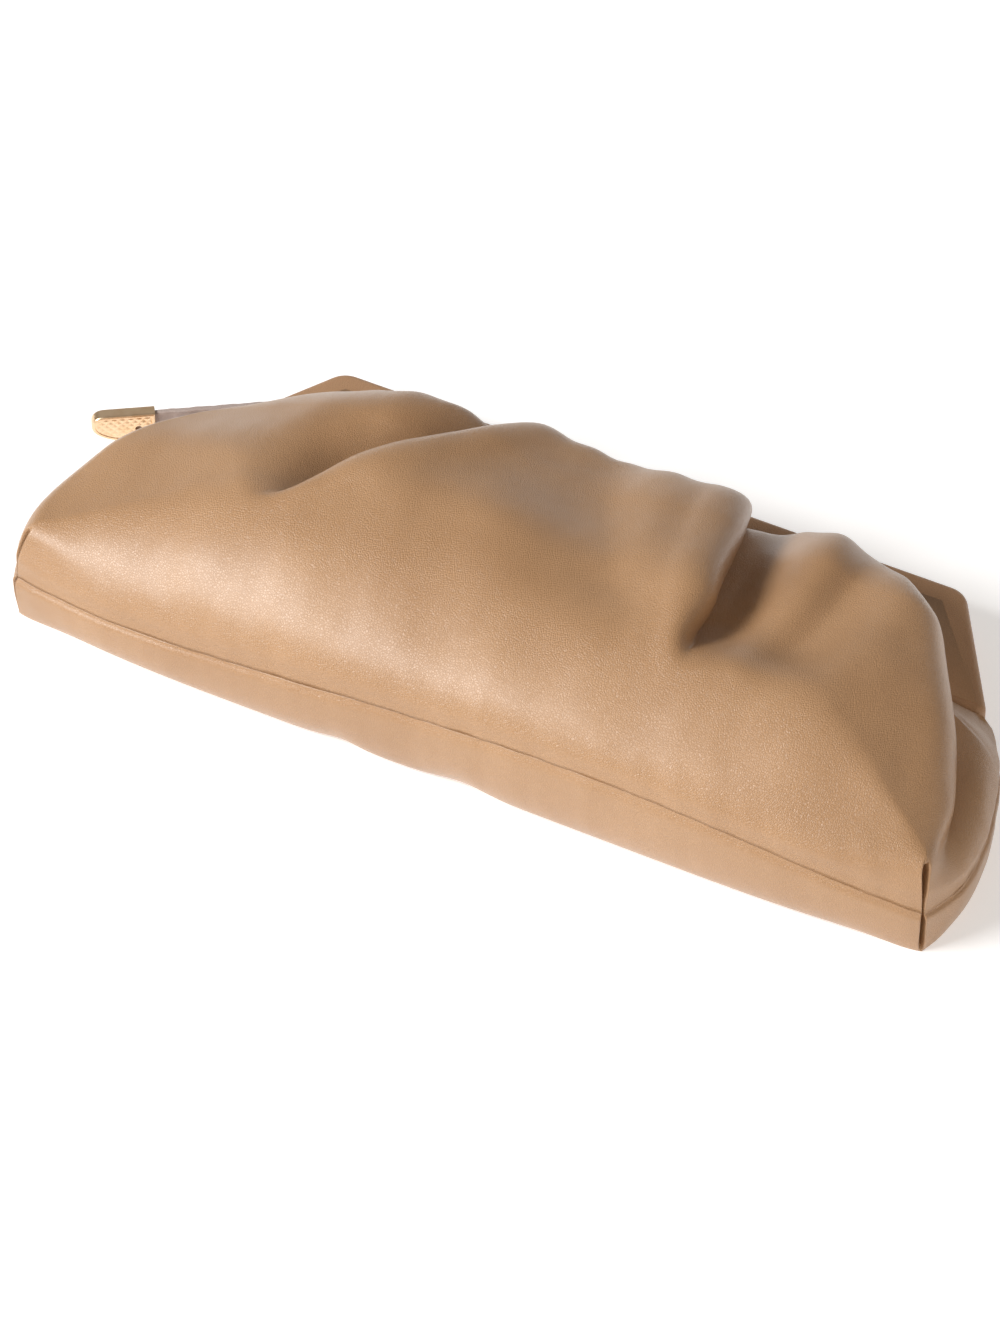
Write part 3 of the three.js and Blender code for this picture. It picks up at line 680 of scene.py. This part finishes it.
def tip_outline(inset):
    """Side view of the metal tip, anticlockwise: a long curve below, a short one above."""
    half = TIP_WIDTH / 2
    t = np.linspace(0, 1, 19)[:, None]

    def bend(a, b, c, d):
        return (1 - t) ** 3 * a + 3 * (1 - t) ** 2 * t * b + 3 * (1 - t) * t**2 * c + t**3 * d

    size = np.array([TIP_LENGTH, half])
    low = bend(*(np.array([[0.1, -1], [0.65, -1], [1, -0.45], [1, 0.3]]) * size))
    high = bend(*(np.array([[1, 0.3], [1, 0.75], [0.92, 1], [0.78, 1]]) * size))
    line = np.concatenate([[[0, -half]], low, high[1:], [[0, half]]])
    before = np.roll(line, 1, axis=0)
    after = np.roll(line, -1, axis=0)
    first = (line - before) / np.linalg.norm(line - before, axis=1, keepdims=True)
    second = (after - line) / np.linalg.norm(after - line, axis=1, keepdims=True)
    inward = np.column_stack([-(first + second)[:, 1], (first + second)[:, 0]])
    inward /= np.linalg.norm(inward, axis=1, keepdims=True)
    open_angle = np.clip((inward * np.column_stack([-first[:, 1], first[:, 0]])).sum(1), 0.5, 1)
    return line + inward * inset / open_angle[:, None]


def depth_inside(points, outline):
    """How far points lie inside an outline without hollows. Below 0 is outside."""
    depth = np.full(len(points), np.inf)
    for start, end in zip(outline, np.roll(outline, -1, axis=0)):
        step = end - start
        offset = points - start
        cross = step[0] * offset[:, 1] - step[1] * offset[:, 0]
        depth = np.minimum(depth, cross / np.linalg.norm(step))
    return depth


def strap_tip():
    """Metal tip: rounded rim, studded flat faces and a through hole."""
    edge = 0.9
    rim = edge + 0.5
    pitch = 2.3
    relief = 0.28
    half = TIP_THICKNESS / 2
    hole_offset = 2.2
    hole_steps = 28
    hole_x = TIP_SOCKET_DEPTH / 2 + hole_offset
    inner = tip_outline(rim)
    angles = np.linspace(0, 2 * math.pi, hole_steps, endpoint=False)
    hole_radius = TIP_HOLE_DIAMETER / 2
    hole = np.column_stack([hole_x + hole_radius * np.cos(angles), hole_radius * np.sin(angles)])
    spacing = 0.29
    reach_z = TIP_WIDTH / 2
    columns = np.arange(0, TIP_LENGTH, spacing)
    grid_x, grid_z = np.meshgrid(columns, np.arange(-reach_z, reach_z, spacing))
    field = np.column_stack([grid_x.ravel(), grid_z.ravel()])
    clear_hole = np.hypot(field[:, 0] - hole_x, field[:, 1]) > hole_radius + 0.2
    field = field[(depth_inside(field, inner) > 0.15) & clear_hole]
    flat = np.concatenate([inner, hole, field])
    ring_edges = [(i, (i + 1) % len(inner)) for i in range(len(inner))]
    base = len(inner)
    ring_edges += [(base + i, base + (i + 1) % len(hole)) for i in range(len(hole))]
    cut = delaunay_2d_cdt([Vector(p) for p in flat], ring_edges, [], 0, 1e-6)
    cap = np.array([tuple(p) for p in cut[0]])
    corners = np.array(cut[2])
    middles = cap[corners].mean(1)
    in_hole = np.hypot(middles[:, 0] - hole_x, middles[:, 1]) < hole_radius * 0.97
    triangles = corners[(depth_inside(middles, inner) > -1e-3) & ~in_hole].tolist()
    u = (cap[:, 0] + cap[:, 1]) / pitch / math.sqrt(2)
    v = (cap[:, 0] - cap[:, 1]) / pitch / math.sqrt(2)
    cell = np.maximum(np.abs((u % 1) - 0.5), np.abs((v % 1) - 0.5)) * 2
    from_edge = depth_inside(cap, inner)
    from_hole = np.hypot(cap[:, 0] - hole_x, cap[:, 1]) - hole_radius
    fade = np.clip(from_edge / 0.5, 0, 1) * np.clip(from_hole / 0.5, 0, 1)
    height = half - relief + relief * (1 - cell) * fade
    vertices = []
    faces = []
    for side in (1, -1):
        start = len(vertices)
        vertices += [(p[0], side * h, p[1]) for p, h in zip(cap, height)]
        faces += [[start + i for i in (f if side < 0 else f[::-1])] for f in triangles]
    rings = [(rim, half - relief), (rim - 0.05, half - 0.05), (edge, half)]
    for angle in np.linspace(0, math.pi / 2, 5)[1:]:
        rings.append((edge * (1 - math.sin(angle)), half - edge * (1 - math.cos(angle))))
    profile = rings + [(inset, -depth) for inset, depth in rings[::-1]]
    count = len(inner)
    start = len(vertices)
    for inset, depth in profile:
        vertices += [(p[0], depth, p[1]) for p in tip_outline(inset)]
    faces += tube_faces(start, count, len(profile))
    start = len(vertices)
    for depth in (half - relief, -(half - relief)):
        vertices += [(p[0], depth, p[1]) for p in hole]
    for i in range(len(hole)):
        k = (i + 1) % len(hole)
        faces.append([start + k, start + i, start + len(hole) + i, start + len(hole) + k])
    placed = place_on_strap(np.array(vertices), STRAP_LENGTH - TIP_SOCKET_DEPTH + CLEARANCE)
    return new_mesh_object("strap_tip_metal", placed, faces, smooth=False)


def add_node(tree, kind, **inputs):
    """A shader node with some of its input values set."""
    node = tree.nodes.new(kind)
    for key, value in inputs.items():
        node.inputs[key.replace("_", " ")].default_value = value
    return node


def colour_ramp(tree, factor, stops):
    """A ramp between two colours, driven by another node's output."""
    ramp = tree.nodes.new("ShaderNodeValToRGB")
    for element, (position, colour) in zip(ramp.color_ramp.elements, stops):
        element.position = position
        element.color = (*colour, 1)
    tree.links.new(factor, ramp.inputs["Fac"])
    return ramp.outputs["Color"]


def spread_roughness(tree, shader, factor, low, high):
    """Lets the roughness vary between two values with another node's output."""
    gloss = tree.nodes.new("ShaderNodeMapRange")
    gloss.inputs["To Min"].default_value = low
    gloss.inputs["To Max"].default_value = high
    tree.links.new(factor, gloss.inputs["Value"])
    tree.links.new(gloss.outputs["Result"], shader.inputs["Roughness"])


def leather_material(name, dark, light, roughness, grain_size, grain_depth, coat):
    """Leather with pebbled grain, painted shade in its creases, slow colour variation and a satin
    surface.
    """
    material = bpy.data.materials.new(name)
    material.use_nodes = True
    tree = material.node_tree
    shader = tree.nodes["Principled BSDF"]
    shader.inputs["Specular IOR Level"].default_value = 0.5
    shader.inputs["Coat Weight"].default_value = coat
    shader.inputs["Coat Roughness"].default_value = 0.38
    place = tree.nodes.new("ShaderNodeTexCoord")

    tone = add_node(tree, "ShaderNodeTexNoise", Scale=14.0, Detail=4.0, Roughness=0.55)
    tree.links.new(place.outputs["Object"], tone.inputs["Vector"])
    colours = colour_ramp(tree, tone.outputs["Fac"], ((0.3, dark), (0.7, light)))

    cells = add_node(tree, "ShaderNodeTexVoronoi", Scale=1 / grain_size, Randomness=1.0)
    cells.feature = "DISTANCE_TO_EDGE"
    tree.links.new(place.outputs["Object"], cells.inputs["Vector"])
    pores = add_node(tree, "ShaderNodeTexNoise", Scale=2.2 / grain_size, Detail=3.0)
    tree.links.new(place.outputs["Object"], pores.inputs["Vector"])

    # Painted shade: the base colour is darkened along the creases between the grain's pebbles
    crease = tree.nodes.new("ShaderNodeMapRange")
    crease.inputs["From Max"].default_value = 0.22
    tree.links.new(cells.outputs["Distance"], crease.inputs["Value"])
    shade = tree.nodes.new("ShaderNodeMix")
    shade.data_type = "RGBA"
    shade.blend_type = "MULTIPLY"
    shade.inputs["B"].default_value = (0.84, 0.80, 0.77, 1)
    flip = add_node(tree, "ShaderNodeMath")
    flip.operation = "SUBTRACT"
    flip.inputs[0].default_value = 1.0
    tree.links.new(crease.outputs["Result"], flip.inputs[1])
    fade = tree.nodes.new("ShaderNodeMath")
    fade.operation = "MULTIPLY"
    fade.inputs[1].default_value = 0.55
    tree.links.new(flip.outputs["Value"], fade.inputs[0])
    tree.links.new(fade.outputs["Value"], shade.inputs["Factor"])
    tree.links.new(colours, shade.inputs["A"])
    tree.links.new(shade.outputs["Result"], shader.inputs["Base Color"])

    spread_roughness(tree, shader, pores.outputs["Fac"], roughness - 0.07, roughness + 0.09)

    fine = add_node(tree, "ShaderNodeBump", Strength=0.35, Distance=grain_depth)
    tree.links.new(crease.outputs["Result"], fine.inputs["Height"])
    soft = add_node(tree, "ShaderNodeBump", Strength=0.25, Distance=grain_depth)
    tree.links.new(pores.outputs["Fac"], soft.inputs["Height"])
    tree.links.new(fine.outputs["Normal"], soft.inputs["Normal"])
    tree.links.new(soft.outputs["Normal"], shader.inputs["Normal"])
    return material


# What tarnish leaves of the metal's red, green and blue
TARNISH_SHARES = (0.9, 0.84, 0.76)


def metal_material(name, colour, roughness):
    """Gold-tone metal, slightly tarnished."""
    material = bpy.data.materials.new(name)
    material.use_nodes = True
    tree = material.node_tree
    shader = tree.nodes["Principled BSDF"]
    shader.inputs["Metallic"].default_value = 1.0
    place = tree.nodes.new("ShaderNodeTexCoord")
    tarnish = add_node(tree, "ShaderNodeTexNoise", Scale=260.0, Detail=3.0)
    tree.links.new(place.outputs["Object"], tarnish.inputs["Vector"])
    dull = [value * share for value, share in zip(colour, TARNISH_SHARES)]
    colours = colour_ramp(tree, tarnish.outputs["Fac"], ((0.25, dull), (0.6, colour)))
    tree.links.new(colours, shader.inputs["Base Color"])
    spread_roughness(tree, shader, tarnish.outputs["Fac"], roughness - 0.06, roughness + 0.1)
    return material


def dress(piece, material):
    """Gives a piece its material."""
    piece.data.materials.clear()
    piece.data.materials.append(material)


# Camera: direction and distance fitted to the corners, the seam and the frame
CAMERA_TURN = math.radians(27.3)
CAMERA_RISE = math.radians(45.46)
CAMERA_DISTANCE = 2244.8
CAMERA_TARGET = np.array([-3.7, 42.6, 20.0])
CAMERA_LENS = 162.04


def place_camera():
    """Camera at the photograph's angle."""
    back = np.array([
        math.sin(CAMERA_TURN) * math.cos(CAMERA_RISE),
        -math.cos(CAMERA_TURN) * math.cos(CAMERA_RISE),
        math.sin(CAMERA_RISE),
    ])
    data = bpy.data.cameras.new("camera")
    data.lens = CAMERA_LENS
    data.sensor_width = 36.0
    data.clip_end = 20.0
    data.dof.use_dof = False
    camera = bpy.data.objects.new("camera", data)
    bpy.context.scene.collection.objects.link(camera)
    camera.location = to_world(CAMERA_TARGET + back * CAMERA_DISTANCE)
    camera.rotation_euler = Vector(back).to_track_quat("Z", "Y").to_euler()
    bpy.context.scene.camera = camera


def area_light(name, position, target, size, power, colour=(1, 1, 1)):
    """A soft box that points at a place."""
    data = bpy.data.lights.new(name, "AREA")
    data.shape = "RECTANGLE"
    data.size, data.size_y = size
    data.energy = power
    data.color = colour
    light = bpy.data.objects.new(name, data)
    bpy.context.scene.collection.objects.link(light)
    light.location = position
    aim = Vector(target) - Vector(position)
    light.rotation_euler = aim.to_track_quat("-Z", "Y").to_euler()


def studio():
    """Glowing white floor, a strong light at the front left, weak ones front right and behind."""
    mesh = bpy.data.meshes.new("floor")
    half = 6.0
    corners = [(-half, -half, 0), (half, -half, 0), (half, half, 0), (-half, half, 0)]
    mesh.from_pydata(corners, [], [(0, 1, 2, 3)])
    floor = bpy.data.objects.new("floor", mesh)
    bpy.context.scene.collection.objects.link(floor)
    paint = bpy.data.materials.new("floor_paint")
    paint.use_nodes = True
    shader = paint.node_tree.nodes["Principled BSDF"]
    shader.inputs["Base Color"].default_value = (0.86, 0.86, 0.86, 1)
    shader.inputs["Roughness"].default_value = 0.9
    shader.inputs["Specular IOR Level"].default_value = 0.1
    shader.inputs["Emission Color"].default_value = (1, 1, 1, 1)
    shader.inputs["Emission Strength"].default_value = 0.37
    floor.data.materials.append(paint)
    world = bpy.data.worlds.new("studio")
    bpy.context.scene.world = world
    world.use_nodes = True
    background = world.node_tree.nodes["Background"]
    background.inputs["Color"].default_value = (1, 0.94, 0.88, 1)
    background.inputs["Strength"].default_value = 0.22
    middle = (0.0, 0.0, 0.04)
    area_light("key", (-1.35, -1.30, 1.50), middle, size=(1.2, 0.8), power=62)
    area_light("fill", (1.5, -1.2, 1.3), middle, size=(1.2, 0.9), power=13, colour=(1, 0.9, 0.8))
    area_light("backdrop", (-0.9, 1.7, 1.2), middle, size=(2.4, 1.4), power=2)
    bpy.context.scene.view_settings.view_transform = "Standard"


place_camera()
studio()

nappa = leather_material(
    "nappa", dark=(0.405, 0.222, 0.102), light=(0.495, 0.288, 0.145),
    roughness=0.36, grain_size=0.0009, grain_depth=0.0005, coat=0.6,
)
frame_leather = leather_material(
    "frame_nappa", dark=(0.420, 0.235, 0.120), light=(0.510, 0.300, 0.165),
    roughness=0.46, grain_size=0.0009, grain_depth=0.0004, coat=0.1,
)
strap_leather = leather_material(
    "strap_nappa", dark=(0.42, 0.33, 0.30), light=(0.62, 0.51, 0.46),
    roughness=0.40, grain_size=0.0008, grain_depth=0.0006, coat=0.3,
)
gold = metal_material("pale_gold", colour=(0.95, 0.71, 0.47), roughness=0.32)

front = front_panel()
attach(front, "root")
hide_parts("front_panel")
dress(front, nappa)

back = back_panel()
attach(back, "root")
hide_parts("back_panel")
dress(back, nappa)

upper = frame_half("front_frame_leather", FRAME_SPLIT + MOUTH_GAP, FRAME_TOP, 1)
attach(upper, "root")
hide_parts("front_frame")
dress(upper, frame_leather)

lower = frame_half("back_frame_leather", FRAME_FLOOR, FRAME_SPLIT, -1)
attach(lower, "root")
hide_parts("back_frame")
dress(lower, frame_leather)

strap = strap_end()
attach(strap, "root")
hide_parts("strap")
dress(strap, strap_leather)

tip = strap_tip()
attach(tip, "root")
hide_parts("strap_tip")
dress(tip, gold)

for node_name in ("left_hinge_pin", "right_hinge_pin"):
    dress(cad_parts[node_name], gold)
